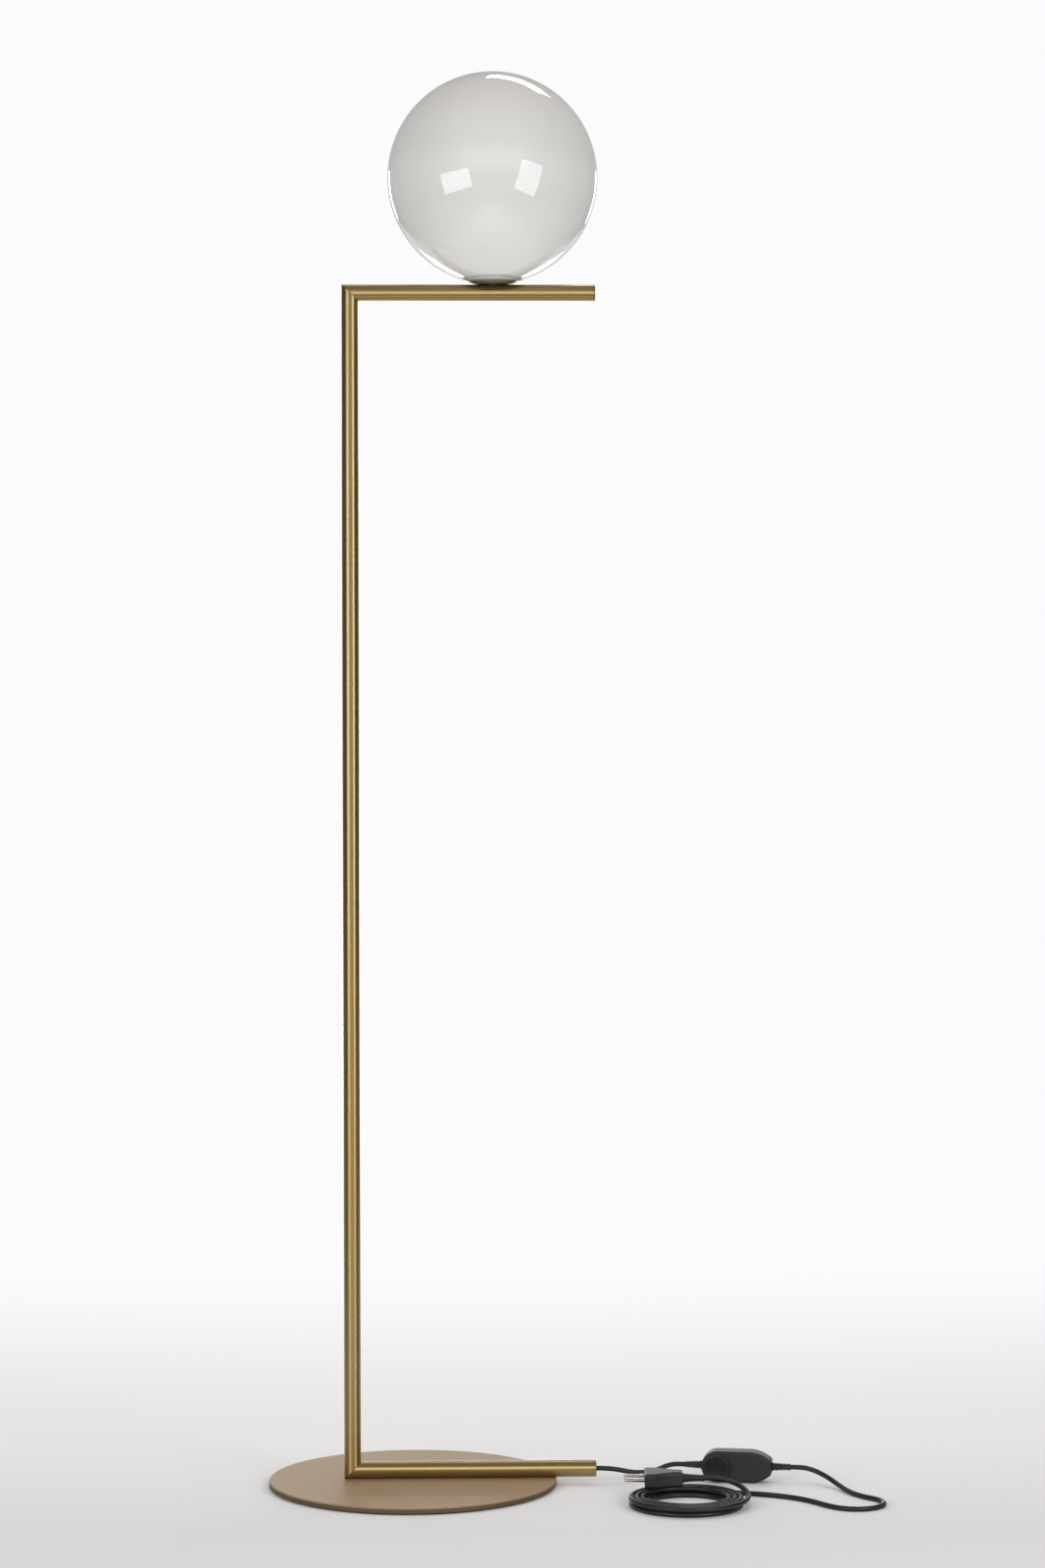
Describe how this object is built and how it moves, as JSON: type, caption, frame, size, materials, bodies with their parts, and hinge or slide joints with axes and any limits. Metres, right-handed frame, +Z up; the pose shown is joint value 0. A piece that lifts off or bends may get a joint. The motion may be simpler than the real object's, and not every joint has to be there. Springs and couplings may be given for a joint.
{
  "type": "floor lamp",
  "caption": "Floor lamp with a C-shaped brass tube frame on a round metal base, an opal glass globe in a shallow dish, and a coiled black cord with a rotary dimmer and flat plug.",
  "frame": {"origin": "the centre of the round base's underside, on the floor", "axes": "+Z up, +X along both arms from the post towards their capped ends, +Y the far side as the picture sees it"},
  "size_m": [0.5764, 0.2986, 1.3466],
  "materials": {
    "pad_rubber": "matte dark foot pad",
    "bronze_paint": "satin bronze, fine grain",
    "zinc_steel": "zinc-plated steel",
    "satin_brass": "satin lacquered brass",
    "black_plastic": "satin black moulded plastic",
    "cord_black": "satin black cord sheath",
    "wire_white": "heat-proof sleeve",
    "dish_metal": "satin greenish-grey metal",
    "gasket_rubber": "soft grey ring",
    "holder_ceramic": "white ceramic",
    "pin_metal": "nickel-plated contact metal",
    "bulb_plastic": "opal plastic",
    "opal_glass": "glossy opal glass, unlit",
    "knob_plastic": "black, slightly glossy",
    "board_green": "circuit board"
  },
  "bodies": {
    "frame": {"base_pad": "pad_rubber", "base_plate": "bronze_paint", "base_screws": "zinc_steel", "screw_anchors": "zinc_steel", "lower_arm": "satin_brass", "post": "satin_brass", "upper_arm": "satin_brass", "upper_arm_cap": "satin_brass", "cord_outlet_cap": "satin_brass", "cord_outlet_bush": "black_plastic", "inner_cable": "cord_black", "lead_wires": "wire_white", "stem": "zinc_steel", "stem_boss": "zinc_steel", "shade_dish": "dish_metal", "glass_gasket": "gasket_rubber", "dish_spacer": "zinc_steel", "spring_collar": "zinc_steel", "globe_springs": "zinc_steel", "stem_washer": "zinc_steel", "stem_nut": "zinc_steel", "holder_cap": "zinc_steel", "lampholder": "holder_ceramic", "cord_lead": "cord_black", "cord_run": "cord_black", "cord_coil": "cord_black", "cord_tail": "cord_black", "dimmer_front": "black_plastic", "dimmer_back": "black_plastic", "dimmer_screws": "zinc_steel", "dimmer_board": "board_green", "dimmer_control": "pin_metal", "lamp_side_guard": "cord_black", "plug_side_guard": "cord_black", "plug_body": "black_plastic", "plug_pins": "pin_metal", "plug_guard": "cord_black"},
    "globe": {"glass_globe": "opal_glass"},
    "bulb": {"bulb_foot": "holder_ceramic", "bulb_pins": "pin_metal", "bulb_envelope": "bulb_plastic"},
    "knob": {"dimmer_knob": "knob_plastic"}
  },
  "joints": [
    {"name": "globe_lift", "type": "slide", "parent": "frame", "child": "globe", "axis": [0, 0, 1], "range_m": [0, 0.1]},
    {"name": "bulb_pull", "type": "slide", "parent": "frame", "child": "bulb", "axis": [0, 0, 1], "range_m": [0, 0.02]},
    {"name": "knob_turn", "type": "hinge", "parent": "frame", "child": "knob", "pos_m": [0.292, 0.008, 0.015], "axis": [-0.1736, -0.9848, 0], "range_deg": [-135, 135]}
  ]
}
